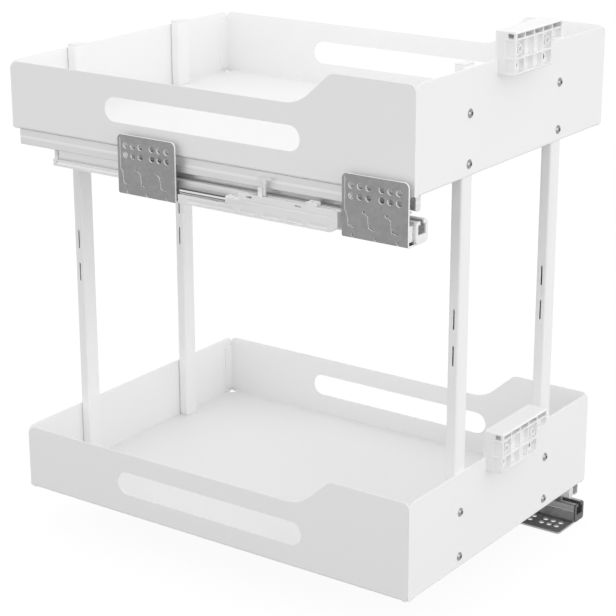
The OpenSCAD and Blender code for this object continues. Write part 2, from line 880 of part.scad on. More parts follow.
module upper_middle_rail() {
  color(bright_steel) at_upper_slide() middle_rail();
}

module lower_middle_rail() {
  color(bright_steel) at_lower_slide() middle_rail();
}

module upper_middle_stop() {
  color(white_plastic) at_upper_slide() middle_stop();
}

module lower_middle_stop() {
  color(white_plastic) at_lower_slide() middle_stop();
}

module upper_cabinet_rail() {
  color(light_zinc) at_upper_slide() cabinet_rail();
}

module lower_cabinet_rail() {
  color(dark_zinc) at_lower_slide() cabinet_rail();
}

module upper_rail_cap() {
  color(white_plastic) at_upper_slide() rail_cap();
}

module lower_rail_cap() {
  color(dark_plastic) at_lower_slide() rail_cap();
}

module upper_outer_cage() {
  color(dark_zinc) at_upper_slide() outer_cage(outer_cage_start);
}

module lower_outer_cage() {
  color(dark_zinc) at_lower_slide() outer_cage(outer_cage_start);
}

module upper_inner_cage() {
  color(dark_zinc) at_upper_slide() turned_over() outer_cage(inner_cage_start);
}

module lower_inner_cage() {
  color(dark_zinc) at_lower_slide() turned_over() outer_cage(inner_cage_start);
}

module upper_outer_balls() {
  color(bright_steel) at_upper_slide() outer_balls(outer_cage_start);
}

module lower_outer_balls() {
  color(bright_steel) at_lower_slide() outer_balls(outer_cage_start);
}

module upper_inner_balls() {
  color(bright_steel) at_upper_slide() turned_over() outer_balls(inner_cage_start);
}

module lower_inner_balls() {
  color(bright_steel) at_lower_slide() turned_over() outer_balls(inner_cage_start);
}

// ---- soft close ----------------------------------------------------------

// Side outline of the housing, in Y and Z.
module closer_outline() {
  polygon([
    [closer_start, closer_top], [closer_end, closer_top],
    [closer_end, closer_tail_top], [closer_tail_end, closer_tail_top],
    [closer_tail_end, closer_bottom], [closer_start + 8, closer_bottom],
    [closer_start, closer_bottom + 5]
  ]);
  translate([closer_start + closer_bump, closer_top - 1]) round_rect([closer_bump_len, 4.7], 1.5);
}

// Housing beside the rail: channel for the catch, bore for the damper.
module closer_housing() {
  channel_end = lug_y + catch_half + 2;
  difference() {
    union() {
      along_x(closer_outer, closer_w) closer_outline();
      closer_end_cap();
    }
    translate([closer_mid - closer_channel / 2, closer_start + closer_lead, closer_axis_z - 3])
      cube([closer_channel, channel_end - closer_start - closer_lead, cabinet_rail_h]);
    // open front: the lug leaves here
    translate([closer_mid - closer_channel / 2, closer_start - 1, closer_top - 1.5])
      cube([closer_channel, 2 * closer_lead, cabinet_rail_h]);
    translate([closer_mid, channel_end - 1, closer_axis_z]) rotate([-90, 0, 0])
      cylinder(d = damper_d + 2 * bore_clear, h = closer_end + closer_cap_len + 2 - channel_end);
    // lightening pockets, a moulded groove and clip windows in the outer face
    along_x(closer_outer - 1, 1 + pocket_depth) {
      for (i = [0 : pocket_count - 1])
        translate([closer_start + 2 * closer_lead + i * pocket_pitch, pocket_z])
          round_rect([pocket_len, pocket_h], 1);
      translate([closer_end + closer_lead, pocket_z]) round_rect([tail_pocket_len, pocket_h], 1);
    }
    along_x(closer_outer - 1, 1 + groove_depth)
      translate([closer_start + closer_lead, closer_top - 7.5])
        round_rect([closer_len - 2 * closer_lead, 1.4], 0.6);
    for (y = [closer_start + clip_front, closer_end - clip_rear])
      along_x(closer_outer - 1, closer_w + 2) translate([y, closer_top - 3.4]) round_rect([7, 1.8], 0.6);
  }
}

// Round gland that holds the damper's tube, with two ribs.
module closer_end_cap() {
  intersection() {
    translate([closer_mid, closer_end, closer_axis_z]) rotate([-90, 0, 0]) {
      cylinder(r = damper_d / 2 + 1.8, h = closer_cap_len);
      for (y = [4, 9]) translate([0, 0, y]) cylinder(r = damper_d / 2 + 2.8, h = 2);
    }
    translate([closer_outer, closer_end, closer_tail_top - 1])
      cube([closer_w, closer_cap_len, cabinet_rail_h]);
  }
}

// Catch that tows the drawer shut; its front prong is down, clear of the lug.
module closer_catch() {
  base_y = lug_y - catch_half;
  base_z = closer_axis_z - 2.8;
  translate([closer_mid - catch_w / 2, base_y, base_z]) cube([catch_w, 2 * catch_half, 5.4]);
  translate([closer_mid - catch_w / 2, base_y, base_z]) cube([catch_w, 5, 7.9]);
  translate([closer_mid - catch_w / 2, lug_y + lug_w / 2 + 0.4, base_z])
    cube([catch_w, 4.5, prong_top - base_z]);
}

module closer_damper() {
  start = lug_y + catch_half + 0.1;
  tube_start = rod_len - 1;
  translate([closer_mid, start, closer_axis_z]) rotate([-90, 0, 0]) {
    cylinder(r = rod_r, h = rod_len);
    translate([0, 0, tube_start])
      cylinder(d = damper_d, h = closer_tail_end - damper_in - start - tube_start);
  }
}

module upper_closer_housing() {
  color(white_plastic) at_upper_slide() closer_housing();
}

module lower_closer_housing() {
  color(white_plastic) at_lower_slide() closer_housing();
}

module upper_closer_catch() {
  color(white_plastic) at_upper_slide() closer_catch();
}

module lower_closer_catch() {
  color(white_plastic) at_lower_slide() closer_catch();
}

module upper_closer_damper() {
  color(bright_steel) at_upper_slide() closer_damper();
}

module lower_closer_damper() {
  color(bright_steel) at_lower_slide() closer_damper();
}

// ---- brackets ------------------------------------------------------------

// The mounting holes, as seen by a plate whose middle is at [0, 0].
module hole_pattern() {
  for (side = [-1, 1], i = [0 : 2], row = [-1, 1])
    translate([side * (hole_first + i * hole_pitch), row * hole_rows / 2]) circle(d = hole_d);
}

// Hook slits: bent tongues that keep the sheet springy round the holes. Two end
// in a round hole, and the one at the back runs on up as a long, narrow slit.
module hook_slits() {
  long_bottom = slit_top - slit_w / 2;
  translate([slit_rows[0] - long_slit_w / 2, long_bottom])
    square([long_slit_w, bracket_up - long_slit_in - long_bottom]);
  for (i = [1, 2]) translate([slit_rows[i], slit_top]) circle(slit_w);
  for (i = [0 : 2]) {
    top = [slit_rows[i], slit_top];
    knee = [slit_rows[i] - slit_lean[i], slit_top - 3.5];
    foot = [knee[0] - 1.2, slit_mid + 1.2];
    toe = [foot[0] - 4.8, slit_mid];
    stroke([top, knee, foot, toe], slit_w);
  }
}

// Notches through the fold under the slits.
module fold_notches() {
  for (i = [-1 : 1]) translate([i * notch_pitch - notch_w / 2, bracket_bottom - 1])
    square([notch_w, notch_h + 1]);
}

// Plate on the cabinet wall, folded in below to a shelf for the rail.
module wall_bracket() {
  half = bracket_w / 2;
  translate([0, bracket_middle, 0]) difference() {
    union() {
      along_x(wall_x, bracket_t) difference() {
        translate([-half, bracket_bottom + bracket_fold_r])
          square([bracket_w, bracket_up - bracket_bottom - bracket_fold_r]);
        for (side = [0, 1]) mirror([side, 0]) translate([-half, bracket_up]) mirror([0, 1])
          corner_cut(bracket_corner_r);
      }
      along_y(-half, bracket_w) translate([wall_x, bracket_bottom]) intersection() {
        square(bracket_fold_r);
        translate([bracket_fold_r, bracket_fold_r]) difference() {
          circle(bracket_fold_r);
          circle(bracket_fold_r - bracket_t);
        }
      }
      translate([wall_x + bracket_fold_r, -half, bracket_bottom])
        cube([shelf_w - bracket_fold_r, bracket_w, bracket_t]);
    }
    along_x(wall_x - 1, bracket_t + 1.6) {
      hole_pattern();
      hook_slits();
    }
    along_x(wall_x - 1, bracket_fold_r + 1) fold_notches();
    for (side = [-1, 1]) translate([0, side * rivet_offset, bracket_bottom - 1])
      cylinder(r = rivet_r + rivet_clear, h = bracket_t + 2);
  }
}

// Flat plate on the cabinet floor, in the slide's frame.
module floor_bracket() {
  half = bracket_w / 2;
  translate([0, bracket_middle, bracket_bottom]) difference() {
    linear_extrude(bracket_t) translate([-floor_bracket_outer, -half])
      round_rect([floor_bracket_w, bracket_w], bracket_corner_r * 0.6);
    translate([floor_hole_x - hole_rows / 2, 0, -1]) rotate(90) linear_extrude(bracket_t + 2)
      hole_pattern();
    for (side = [-1, 1]) translate([0, side * rivet_offset, -1])
      cylinder(r = rivet_r + rivet_clear, h = bracket_t + 2);
  }
}

// Where rivets hold a rail to its two brackets.
module rivet_places() {
  for (bracket = [0, bracket_pitch], side = [-1, 1])
    translate([0, bracket_middle + bracket + side * rivet_offset, 0]) children();
}

module rail_rivet() {
  translate([0, 0, bracket_bottom]) cylinder(r = rivet_r, h = bracket_t + rail_t + rivet_head_h / 2);
  translate([0, 0, cabinet_rail_bottom + rail_t]) cylinder(r = rivet_head_r, h = rivet_head_h);
}

// Block on a wall bracket's plate that keeps the rail from swinging sideways.
module rail_clamp(start) {
  outer = wall_x + bracket_t;
  inner = ball_x + bulge_r + clamp_clear;
  translate([outer, start, cabinet_rail_bottom + clamp_lift])
    cube([-inner - outer, clamp_l, cabinet_rail_h - clamp_lift - clamp_drop]);
}

module wall_bracket_front() {
  color(galvanised) at_upper_slide() wall_bracket();
}

module wall_bracket_rear() {
  color(galvanised) at_upper_slide() translate([0, bracket_pitch, 0]) wall_bracket();
}

module floor_bracket_front() {
  color(dark_zinc) at_lower_slide() floor_bracket();
}

module floor_bracket_rear() {
  color(dark_zinc) at_lower_slide() translate([0, bracket_pitch, 0]) floor_bracket();
}

module rail_clamps() {
  first = bracket_middle - bracket_w / 2 + clamp_in;
  last = bracket_middle + bracket_pitch + bracket_w / 2 - clamp_in - clamp_l;
  color(galvanised) at_upper_slide() {
    rail_clamp(first);
    rail_clamp(last);
  }
}

module rail_rivets() {
  color(bright_steel) {
    at_upper_slide() rivet_places() rail_rivet();
    at_lower_slide() rivet_places() rail_rivet();
  }
}

upper_tray();
lower_tray();
post_front_left();
post_front_right();
post_rear_left();
post_rear_right();
post_caps();
post_feet();
front_screws();
rear_screws();
fixing_screws();
upper_front_fixing();
lower_front_fixing();
upper_drawer_rail();
lower_drawer_rail();
upper_middle_rail();
lower_middle_rail();
upper_middle_stop();
lower_middle_stop();
upper_cabinet_rail();
lower_cabinet_rail();
upper_rail_cap();
lower_rail_cap();
upper_outer_cage();
lower_outer_cage();
upper_inner_cage();
lower_inner_cage();
upper_outer_balls();
lower_outer_balls();
upper_inner_balls();
lower_inner_balls();
upper_closer_housing();
lower_closer_housing();
upper_closer_catch();
lower_closer_catch();
upper_closer_damper();
lower_closer_damper();
wall_bracket_front();
wall_bracket_rear();
floor_bracket_front();
floor_bracket_rear();
rail_clamps();
rail_rivets();
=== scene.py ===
# %% [markdown]
# # A pull-out cabinet basket
#
# Two folded steel trays hang on four tubular posts and slide on ball-bearing runners.
# The packed model already has every piece at its real size. So this lesson is about
# what the eye reads: rounded edges, powder coat, moulded plastic, zinc plate and
# soft studio light.

# %% [markdown]
# ## The frame comes first
#
# The frame holds the packed nodes, the bodies that they move with, and the record that
# says which material each one has. Two small tables are made from that record, because
# each step below asks for a node's material or its body by the node's name.

# %% Load the packed model
import json
import math

import bpy
from mathutils import Matrix, Vector


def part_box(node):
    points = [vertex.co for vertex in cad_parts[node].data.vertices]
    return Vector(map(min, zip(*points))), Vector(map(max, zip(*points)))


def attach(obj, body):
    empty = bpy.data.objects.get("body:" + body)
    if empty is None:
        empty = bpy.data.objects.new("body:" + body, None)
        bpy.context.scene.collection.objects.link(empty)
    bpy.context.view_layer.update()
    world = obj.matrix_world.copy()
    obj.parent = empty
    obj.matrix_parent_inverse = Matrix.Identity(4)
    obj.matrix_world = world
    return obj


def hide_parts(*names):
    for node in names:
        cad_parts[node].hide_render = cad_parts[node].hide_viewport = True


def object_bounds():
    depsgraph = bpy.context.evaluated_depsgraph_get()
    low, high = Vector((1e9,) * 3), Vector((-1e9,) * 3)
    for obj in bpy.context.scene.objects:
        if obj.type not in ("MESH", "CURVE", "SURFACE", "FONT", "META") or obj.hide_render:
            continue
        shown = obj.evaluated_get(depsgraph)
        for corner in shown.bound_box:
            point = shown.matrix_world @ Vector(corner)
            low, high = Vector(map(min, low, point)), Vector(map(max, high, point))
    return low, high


MM = 0.001

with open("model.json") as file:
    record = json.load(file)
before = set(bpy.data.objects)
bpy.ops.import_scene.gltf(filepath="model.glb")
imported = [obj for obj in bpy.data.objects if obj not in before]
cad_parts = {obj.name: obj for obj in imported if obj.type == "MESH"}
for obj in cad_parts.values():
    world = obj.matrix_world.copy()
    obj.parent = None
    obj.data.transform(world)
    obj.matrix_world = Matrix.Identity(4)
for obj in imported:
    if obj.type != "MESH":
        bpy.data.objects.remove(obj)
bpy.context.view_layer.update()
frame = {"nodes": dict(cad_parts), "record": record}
nodes = frame["nodes"]
slot_of = {part["node"]: part["material_slot"] for part in frame["record"]["subparts"]}
body_of = {
    name: body for body, names in frame["record"]["behaviour"]["bodies"].items() for name in names
}

# %% [markdown]
# ## Working by hand, in code
#
# Every operator acts on what is selected, and the loaded nodes arrive selected. So the
# first helper clears the selection, and the second leaves one object active, as a click
# in the viewport would.

# %% Selection helpers
def deselect():
    bpy.ops.object.select_all(action="DESELECT")


def pick(thing):
    deselect()
    thing.select_set(True)
    bpy.context.view_layer.objects.active = thing


deselect()
print("selected:", len(bpy.context.selected_objects))

# %% [markdown]
# ## Shader sums as plain arithmetic
#
# A material is a graph, but its sums read better as sums. `Value` wraps one output
# socket. Adding or multiplying two of them adds the Math node that does it, so
# `1 - mask * 0.2` builds two nodes. Colours are mixed with Mix nodes, because a Math
# node would turn them grey.

# %% Value, the wrapped socket
class Value:
    def __init__(self, finish, socket):
        self.finish, self.socket = finish, socket

    def sum(self, operation, first, second):
        return self.finish.node("ShaderNodeMath", [first, second], operation=operation)

    def __add__(self, other):
        return self.sum("ADD", self, other)

    __radd__ = __add__

    def __mul__(self, other):
        return self.sum("MULTIPLY", self, other)

    __rmul__ = __mul__

    def __sub__(self, other):
        return self.sum("SUBTRACT", self, other)

    def __rsub__(self, other):
        return self.sum("SUBTRACT", other, self)

    def __abs__(self):
        return self.finish.node("ShaderNodeMath", [self], operation="ABSOLUTE")

    def or_else(self, other):
        return self.sum("MAXIMUM", self, other)

    def ramp(self, start, end):
        """0 where the value is at start or before it, and 1 from end on."""
        return self.finish.node(
            "ShaderNodeMapRange",
            {"Value": self, "From Min": start, "From Max": end},
            out="Result",
            interpolation_type="SMOOTHSTEP",
        )


print("beside + - * and abs, a Value has", [word for word in vars(Value) if word[0] != "_"])

# %% [markdown]
# ## Greys as the eye sees them
#
# A shader counts light, and the eye doesn't: a grey that looks half as bright as white
# gives back only about a fifth of the light. So every grey below is written as it should
# look, and one function turns it into light.

# %% Greys
SCREEN_GAMMA = 2.2


def shade(level):
    """A grey as it should look on screen, from 0 for black to 1 for white."""
    return (level**SCREEN_GAMMA,) * 3 + (1,)


print("a grey that looks like 0.5 gives back", round(shade(0.5)[0], 3), "of the light")

# %% [markdown]
# ## One object for each material being written
#
# A finish needs the same few things again and again: a node with its settings and its
# inputs, noise at a real scale, a blend of two colours and a bump with a real height.
# `Finish` holds them. Its patterns read Object coordinates, because these need no
# unwrapping and stay with a piece when it slides.

# %% Finish, one material
class Finish:
    # A Mix node keeps a set of sockets for each kind of value. These are its colour ones.
    AMOUNT, FIRST, SECOND, MIXED = 0, 6, 7, 2

    def __init__(self, name):
        self.material = bpy.data.materials.new(name)
        self.material.use_nodes = True
        self.tree = self.material.node_tree
        self.surface = self.tree.nodes["Principled BSDF"]

    def node(self, kind, inputs=(), out=0, **settings):
        made = self.tree.nodes.new(kind)
        for setting, value in settings.items():
            setattr(made, setting, value)
        pairs = inputs.items() if isinstance(inputs, dict) else enumerate(inputs)
        for key, value in pairs:
            self.put(made.inputs[key], value)
        return Value(self, made.outputs[out])

    def put(self, socket, value):
        if isinstance(value, Value):
            self.tree.links.new(value.socket, socket)
        else:
            socket.default_value = value

    def axis(self, letter, out="Object"):
        """One coordinate of the place, or of the direction that the surface faces."""
        where = self.node("ShaderNodeTexCoord", out=out)
        return self.node("ShaderNodeSeparateXYZ", [where], out=letter)

    def noise(self, per_metre, detail=2, stretch=(1, 1, 1)):
        """Soft noise. A stretch below 1 draws it out along that axis."""
        where = self.node("ShaderNodeTexCoord", out="Object")
        scaled = self.node("ShaderNodeMapping", {"Vector": where, "Scale": stretch})
        return self.node(
            "ShaderNodeTexNoise",
            {"Vector": scaled, "Scale": per_metre, "Detail": detail, "Roughness": 0.55},
            out="Fac",
        )

    def spangle(self, per_metre):
        """One value for each crystal in a pattern of cells."""
        where = self.node("ShaderNodeTexCoord", out="Object")
        cells = self.node(
            "ShaderNodeTexVoronoi", {"Vector": where, "Scale": per_metre}, out="Color"
        )
        return self.node("ShaderNodeSeparateColor", [cells])

    def blend(self, amount, first, second):
        colours = {self.AMOUNT: amount, self.FIRST: first, self.SECOND: second}
        return self.node("ShaderNodeMix", colours, out=self.MIXED, data_type="RGBA")

    def greys(self, amount, first, second):
        return self.blend(amount, shade(first), shade(second))

    def bump(self, height, metres, strength):
        return self.node(
            "ShaderNodeBump", {"Height": height, "Distance": metres, "Strength": strength}
        )

    def set(self, **sockets):
        for name, value in sockets.items():
            self.put(self.surface.inputs[name.replace("_", " ")], value)
        return self.material


finishes = {}


def keep(slot, material):
    finishes[slot] = material
    print(slot, "is", material.name, "with", len(material.node_tree.nodes), "shader nodes")


# %% [markdown]
# ## White powder coat
#
# Trays and posts are sprayed with dry powder that melts in an oven. The film draws
# together as it flows, so it has a fine orange peel about a millimetre across, and its
# gloss changes a little with its thickness. Noise in three sizes does that: the finest
# for the peel, as bump and gloss, the next for the film, as gloss alone, and the widest
# for the slow change in tone that any large white panel has.

# %% Powder coat
def powder_coat():
    coat = Finish("white_powder_coat")
    peel = coat.noise(per_metre=750)
    film = coat.noise(per_metre=60)
    cloud = coat.noise(per_metre=7)
    return coat.set(
        Base_Color=coat.greys(cloud, 0.974, 0.984),
        Roughness=0.32 + 0.08 * peel + 0.06 * film,
        Normal=coat.bump(peel, metres=0.04 * MM, strength=0.5),
        Specular_IOR_Level=0.45,
    )


keep("white_paint", powder_coat())

# %% [markdown]
# ## Moulded plastic
#
# Fixings, caps and housings come out of a spark-eroded mould, which leaves a fine matt
# grain. Light also goes a millimetre or two into white plastic, so its ribs and pockets
# look softer than painted steel does. Subsurface gives that, as a constant on the
# shader's own socket. It stays small, because thin walls lose light through a deep one.
# The dark cap takes the same grain without it.

# %% Moulded plastic
GLOW_DEPTH = 2 * MM


def moulded(name, level, glow):
    skin = Finish(name)
    grain = skin.noise(per_metre=1600)
    flow = skin.noise(per_metre=45, stretch=(1, 0.3, 1))
    return skin.set(
        Base_Color=skin.greys(flow, level - 0.01, level + 0.008),
        Roughness=0.4 + 0.14 * grain,
        Normal=skin.bump(grain, metres=0.03 * MM, strength=0.6),
        Subsurface_Weight=glow,
        Subsurface_Radius=(1, 1, 1),
        Subsurface_Scale=GLOW_DEPTH,
    )


keep("white_plastic", moulded("moulded_white", level=0.98, glow=0.4))
keep("dark_plastic", moulded("moulded_dark", level=0.36, glow=0.0))

# %% [markdown]
# ## Galvanised brackets
#
# The wall brackets are punched from zinc-coated sheet. Zinc freezes in large flat
# crystals, and rolling leaves faint lines along the strip. A pattern of cells has one
# value in each cell, which is just what a crystal is. Punching cuts through the coat, so
# the edges of the sheet, of the holes and of the slits are bare steel, less metallic. They
# are also painted near white, a painted highlight where light catches an edge. An edge is
# told by the way it faces, so no hole needs a mask of its own. No face of the sheet
# looks along Y, and above the fold none looks along Z.

# %% Galvanised sheet with a painted highlight on its punched edges
FOLD_HEIGHT, FOLD_BLUR = 3 * MM, 0.2 * MM
LOOKS_ALONG_X = (0.75, 0.97)
LOOKS_ALONG_Y = (0.3, 0.6)
fold_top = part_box("wall_bracket_front")[0].z + FOLD_HEIGHT


def galvanised_sheet():
    sheet = Finish("galvanised_sheet")
    crystal = sheet.spangle(per_metre=260)
    rolled = sheet.noise(per_metre=160, detail=4, stretch=(1, 0.15, 1))
    haze = sheet.noise(per_metre=22)
    face = sheet.greys(0.25 * crystal + 0.4 * rolled + 0.35 * haze, 0.55, 0.63)
    on_plate = (sheet.axis("Z") - fold_top).ramp(0, FOLD_BLUR)
    turned_away = 1 - abs(sheet.axis("X", out="Normal")).ramp(*LOOKS_ALONG_X)
    across = abs(sheet.axis("Y", out="Normal")).ramp(*LOOKS_ALONG_Y)
    bare_edge_highlight = across.or_else(turned_away * on_plate)
    return sheet.set(
        # The punched edges are painted near white, a painted highlight; their lower Metallic is
        # the bare steel.
        Base_Color=sheet.blend(bare_edge_highlight, face, shade(0.98)),
        Metallic=0.85 - 0.75 * bare_edge_highlight,
        Roughness=0.38 + 0.12 * rolled - 0.08 * crystal,
        Normal=sheet.bump(rolled, metres=0.02 * MM, strength=0.5),
    )


keep("galvanised", galvanised_sheet())
print("the plate starts", round(fold_top / MM, 1), "mm from the middle of its holes")

# %% [markdown]
# ## Rolled rails
#
# Rails are rolled from coil, so every mark on them runs lengthwise. Noise gives such
# lines once its Y coordinate is squeezed to a fiftieth, which draws every spot out along
# the rail. The bearing balls polish a track in each groove, which makes it smoother. The
# track is also written lighter than the rail, a painted highlight. The heights of the
# tracks come from the packed balls, so the shine stays where they run.

# %% Rolled steel, its ball tracks smoother and lighter as a painted highlight
LENGTHWISE = (1, 0.02, 1)
TRACK_CORE, TRACK_RIM = 0.9 * MM, 1.7 * MM


def track_heights():
    rows = [name for name in nodes if name.endswith("_balls")]
    return sorted(sum(corner.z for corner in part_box(name)) / 2 for name in rows)


def rolled_steel(name, level, spread, rough, metallic):
    steel = Finish(name)
    lines = steel.noise(per_metre=900, detail=3, stretch=LENGTHWISE)
    spots = steel.noise(per_metre=140, detail=3)
    height = steel.axis("Z")
    track = 0.0
    for row in track_heights():
        track = track + (1 - abs(height - row).ramp(TRACK_CORE, TRACK_RIM))
    plain = steel.greys(0.7 * lines + 0.3 * spots, level - spread, level + spread)
    # The track's lighter colour is a painted highlight; the polish only lowers its roughness.
    track_highlight = shade(min(level + 0.04, 0.96))
    return steel.set(
        Base_Color=steel.blend(track, plain, track_highlight),
        Metallic=metallic,
        Roughness=rough + 0.1 * spots - 0.12 * track,
        Normal=steel.bump(lines, metres=0.02 * MM, strength=0.5),
    )


# light_zinc and dark_zinc are one zinc plate. The lower runner's rail and the floor brackets take
# dark_zinc, written darker as painted shade.
for slot, name, level, spread, rough, metallic in (
    ("light_zinc", "light_zinc", 0.9, 0.02, 0.42, 0.4),
    ("dark_zinc", "dark_zinc", 0.68, 0.07, 0.32, 0.8),
    ("bright_steel", "rolled_steel", 0.9, 0.03, 0.28, 0.6),
):
    keep(slot, rolled_steel(name, level, spread, rough, metallic))
print("ball tracks at", [round(height / MM, 1) for height in track_heights()], "mm")

# %% [markdown]
# ## Screws, balls and the damper's tube
#
# These are turned, ground or drawn, and small. Balls have a mirror finish. Screw heads
# have a bright zinc plate with a fine scratch here and there. The tube is drawn steel.
# Its dark bands along it are a painted reflection, placed by the way the surface faces.

# %% Small metal parts
def bright_part(name, level, spread, rough):
    metal = Finish(name)
    fine = metal.noise(per_metre=1400, detail=3)
    return metal.set(
        Base_Color=metal.greys(fine, level - spread, level + spread),
        Metallic=0.9,
        Roughness=rough + 0.1 * fine,
        Normal=metal.bump(fine, metres=0.01 * MM, strength=0.4),
    )


def drawn_tube(name):
    tube = Finish(name)
    facing = tube.axis("Z", out="Normal")
    lines = tube.noise(per_metre=1500, stretch=(1, 0.01, 1))
    # Painted reflection: dark bands on the upper side, the lower side and the crown, by the way
    # the surface faces.
    upper = 1 - abs(facing - 0.78).ramp(0.08, 0.22)
    lower = 1 - abs(facing + 0.15).ramp(0.1, 0.28)
    crown = 0.45 * facing.ramp(0.86, 0.95)
    painted_reflection = upper.or_else(lower).or_else(crown)
    return tube.set(
        Base_Color=tube.greys(painted_reflection, 0.88, 0.36),
        Metallic=0.9,
        Roughness=0.2 + 0.1 * lines,
    )


keep("ball_steel", bright_part("polished_ball", level=0.88, spread=0.01, rough=0.06))
keep("screw_steel", bright_part("plated_screw", level=0.6, spread=0.05, rough=0.2))
keep("damper_metal", drawn_tube("drawn_tube"))

# %% [markdown]
# ## Each node gets its finish
#
# The record names a material slot for each node, and each slot has one finish. So a slot
# is painted once, and all its nodes agree.

# %% Finishes by slot
for name, node in nodes.items():
    node.data.materials.clear()
    node.data.materials.append(finishes[slot_of[name]])
print(len(finishes), "finishes on", len(nodes), "nodes")

# %% [markdown]
# ## Rounded edges
#
# No real edge is sharp. Sheet is tumbled or painted over, and a mould has a radius
# everywhere. That thin rounding catches light and is what makes an object look solid. A
# material could fake it with bent normals, but a real bevel also shows in the outline.
# A packed node is loose triangles, so a copy of it is merged first. Then its flat faces
# are joined again, so that a bevel ends at a real corner and not at a line between two
# triangles.

# %% A merged copy of a node
MERGE_WITHIN = 0.002 * MM
FLAT_WITHIN = math.radians(0.5)


def merged_copy(name):
    piece = bpy.data.objects.new(name + "_finished", nodes[name].data.copy())
    bpy.context.collection.objects.link(piece)
    pick(piece)
    bpy.ops.object.mode_set(mode="EDIT")
    bpy.ops.mesh.select_all(action="SELECT")
    bpy.ops.mesh.remove_doubles(threshold=MERGE_WITHIN)
    bpy.ops.mesh.dissolve_limited(angle_limit=FLAT_WITHIN)
    bpy.ops.object.mode_set(mode="OBJECT")
    return piece


print("points merge within", MERGE_WITHIN / MM, "mm")

# %% [markdown]
# ## Which edges are rounded
#
# An edge is sharp where its two faces turn by more than a few dozen degrees, so the
# facets of a round hole or a fold stay out. Where two edges meet at a needle's angle the
# bevel would shoot out past the corner, so those edges are left as they are. Faces are
# deselected too, because a selected face selects its edges again.

# %% Sharp edges without needles
SHARP_ANGLE = math.radians(34)
NEEDLE_ANGLE = math.radians(8)


def needle_edges(mesh):
    """Edges at a corner so narrow that a bevel would shoot out past it."""
    found = set()
    for face in mesh.polygons:
        corners = [mesh.vertices[index].co for index in face.vertices]
        for here, corner in enumerate(corners):
            ahead = corners[(here + 1) % len(corners)] - corner
            behind = corners[here - 1] - corner
            if ahead.angle(behind, 1.0) < NEEDLE_ANGLE:
                found |= {face.edge_keys[here - 1], face.edge_keys[here]}
    return found


def select_sharp(piece, longer_than):
    pick(piece)
    bpy.ops.object.mode_set(mode="EDIT")
    bpy.ops.mesh.select_mode(type="EDGE")
    bpy.ops.mesh.select_all(action="DESELECT")
    bpy.ops.mesh.edges_select_sharp(sharpness=SHARP_ANGLE)
    bpy.ops.object.mode_set(mode="OBJECT")
    mesh = piece.data
    left_out = needle_edges(mesh)
    for face in mesh.polygons:
        face.select = False
    for edge in mesh.edges:
        first, last = (mesh.vertices[index].co for index in edge.vertices)
        if edge.key in left_out or (last - first).length < longer_than:
            edge.select = False


print("sharp from", round(math.degrees(SHARP_ANGLE)), "degrees")

# %% [markdown]
# ## The bevel and the light on it
#
# Two segments are enough for an edge that is a few tenths of a millimetre round.
# Weighted normals let the largest face at a corner decide, or the light on a large panel
# would bend towards its rim.

# %% Bevel and normals
EDGE_SEGMENTS = 2
SMOOTH_BELOW = math.radians(50)
LARGE_FACE_WEIGHT = 90


def round_edges(piece, radius, longer_than):
    select_sharp(piece, longer_than)
    bpy.ops.object.mode_set(mode="EDIT")
    bpy.ops.mesh.bevel(offset=radius, segments=EDGE_SEGMENTS, affect="EDGES", clamp_overlap=False)
    bpy.ops.mesh.select_mode(type="VERT")
    bpy.ops.object.mode_set(mode="OBJECT")
    bpy.ops.object.shade_smooth_by_angle(angle=SMOOTH_BELOW)
    flat = piece.modifiers.new("flat panels", "WEIGHTED_NORMAL")
    flat.keep_sharp = True
    flat.weight = LARGE_FACE_WEIGHT
    bpy.ops.object.modifier_apply(modifier=flat.name)


print(EDGE_SEGMENTS, "segments on each rounded edge")

# %% [markdown]
# ## A copy takes its node's place
#
# The finished copy rides on the same body, replaces the packed node and keeps its slot.
# How far it comes out of the node's box is measured at once, because a bevel that went
# wrong shows there first.

# %% Stand for a node
def reach_outside(piece, name):
    """How far a piece comes out of the box of the node that it stands for."""
    low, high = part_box(name)
    places = [vertex.co for vertex in piece.data.vertices]
    return max(
        max(low[axis] - min(place[axis] for place in places) for axis in range(3)),
        max(max(place[axis] for place in places) - high[axis] for axis in range(3)),
    )


def stand_for(piece, name):
    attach(piece, body_of[name])
    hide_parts(name)
    past = round(reach_outside(piece, name) / MM, 3)
    print(piece.name, len(piece.data.polygons), "faces,", past, "mm past its box")


# %% [markdown]
# ## How round each material's edge is
#
# Trays, posts, brackets, mouldings and the two outer rails of each runner have their
# edges broken. Paint rounds an edge a little, and moulded plastic has the largest
# radius, because a sharp corner in a mould would crack. The housings have fine ribs and
# take a smaller one. Some pieces have a fold or rib with edges shorter than the bevel is
# wide. Those edges stay sharp, so that the bevel never folds over itself. Balls, screw
# heads and the dampers' tubes are round in the packed model, and middle rails, rivets,
# cages, catches and buffers are small or lie mostly hidden. All of these are left as
# they are.

# %% Edges broken by material
EDGE_OF = {
    "white_paint": 0.3 * MM,
    "white_plastic": 0.35 * MM,
    "dark_plastic": 0.35 * MM,
    "galvanised": 0.25 * MM,
    "light_zinc": 0.2 * MM,
    "dark_zinc": 0.2 * MM,
}
HOUSING_EDGE = 0.12 * MM
LEFT_AS_PACKED = ("cage", "catch", "stop")
FINE_CORNERS = ("tray", "closer_housing", "post_feet", "wall_bracket_rear")

for name in sorted(nodes):
    if slot_of[name] in EDGE_OF and not name.endswith(LEFT_AS_PACKED):
        piece = merged_copy(name)
        radius = HOUSING_EDGE if name.endswith("closer_housing") else EDGE_OF[slot_of[name]]
        round_edges(piece, radius, longer_than=radius if name.endswith(FINE_CORNERS) else 0)
        stand_for(piece, name)

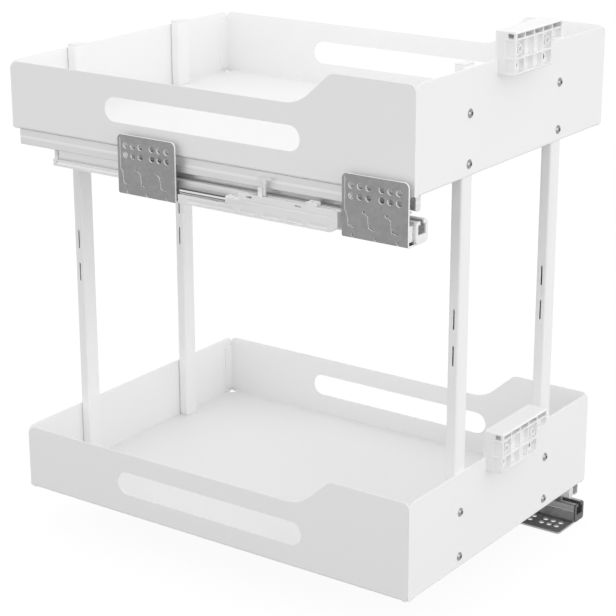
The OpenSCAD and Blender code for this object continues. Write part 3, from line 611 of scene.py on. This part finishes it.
# %% [markdown]
# ## Floor
#
# A catalogue picture has a white ground and no hard shadow. The floor is plain paper.
# For the camera and for reflections it is mostly white light, so the ground stays white
# and metal shows it. The rest of the light falls on it as on grey paper, which keeps the
# object's soft shadow and throws little light back up.

# %% Paper floor
FLOOR_SIZE = 30
FLOOR_GAP = 0.3 * MM
PAPER_GREY = 0.36
WHITE_STRENGTH = 1.17
WHITE_SHARE = 0.8


def seen_directly(finish):
    """1 for rays that show the ground itself: from the camera, in gloss or through glass."""
    camera, glossy, clear = (
        finish.node("ShaderNodeLightPath", out=ray)
        for ray in ("Is Camera Ray", "Is Glossy Ray", "Is Transmission Ray")
    )
    return camera + glossy + clear


def paper_floor(height):
    bpy.ops.mesh.primitive_plane_add(size=FLOOR_SIZE, location=(0, 0, height))
    floor = bpy.context.object
    floor.name = "studio_floor"
    paper = Finish("paper_floor")
    paper.set(Base_Color=(PAPER_GREY,) * 3 + (1,), Roughness=0.9)
    white = paper.node("ShaderNodeEmission", {"Color": (1, 1, 1, 1), "Strength": WHITE_STRENGTH})
    share = seen_directly(paper) * WHITE_SHARE
    body = Value(paper, paper.surface.outputs["BSDF"])
    mixed = paper.node("ShaderNodeMixShader", [share, body, white])
    paper.put(paper.tree.nodes["Material Output"].inputs["Surface"], mixed)
    floor.data.materials.append(paper.material)


floor_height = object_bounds()[0].z - FLOOR_GAP
paper_floor(floor_height)
print("floor at", round(floor_height / MM, 1), "mm")

# %% [markdown]
# ## Sky and lamp
#
# An even sky lights the object from all sides, and it is plain white for the camera. One
# wide lamp in front lifts the front walls a little above the side walls, which tells the
# eye where the corners are. Its wide disk keeps its shadows soft.

# %% Sky and lamp
SKY_STRENGTH = 1.01


class Sky(Finish):
    def __init__(self, level):
        world = bpy.data.worlds.new("studio_sky")
        bpy.context.scene.world = world
        world.use_nodes = True
        self.tree = world.node_tree
        lit = self.node("ShaderNodeBackground", {"Strength": level})
        white = self.node("ShaderNodeBackground", {"Strength": 1.0})
        for shader in (lit, white):
            shader.socket.node.inputs["Color"].default_value = (1, 1, 1, 1)
        mixed = self.node("ShaderNodeMixShader", [seen_directly(self), lit, white])
        self.put(self.tree.nodes["World Output"].inputs["Surface"], mixed)


def lamp(name, place, aim, size, watts):
    bpy.ops.object.light_add(type="AREA", location=place)
    light = bpy.context.object
    light.name = name
    light.data.shape = "DISK"
    light.data.size = size
    light.data.energy = watts
    towards = Vector(aim) - Vector(place)
    light.rotation_euler = towards.to_track_quat("-Z", "Y").to_euler()
    print(name, "lamp", round(towards.length, 2), "m away")


Sky(SKY_STRENGTH)
lamp("key", place=(-0.2, -2.4, 0.25), aim=(0.2, 0.2, -0.33), size=1.4, watts=11)

# %% [markdown]
# ## Camera
#
# The camera stands to the left and in front and looks down on the trays, with a long
# lens so that the trays' edges run nearly parallel.

# %% The camera
CAMERA_PLACE = (-1.3683, -0.8994, 0.4394)
CAMERA_LOOK = Vector((0.77388, 0.54926, -0.31532))
CAMERA_ROLL = math.radians(-0.1)
LENS, SENSOR = 113.2, 36
FARTHEST = 60

bpy.ops.object.camera_add(location=CAMERA_PLACE)
camera = bpy.context.object
camera.data.lens = LENS
camera.data.sensor_width = SENSOR
camera.data.clip_end = FARTHEST
level_turn = CAMERA_LOOK.to_track_quat("-Z", "Y").to_matrix()
camera.rotation_euler = (level_turn @ Matrix.Rotation(CAMERA_ROLL, 3, "Z")).to_euler()
bpy.context.scene.camera = camera
bpy.context.scene.view_settings.view_transform = "Standard"
print("the camera looks down by", round(math.degrees(math.asin(-CAMERA_LOOK.z))), "degrees")

# %% [markdown]
# ## The sizes, and the end
#
# Rounding an edge must not make the object larger or smaller, so the finished object has
# to fill the same box as the packed one.
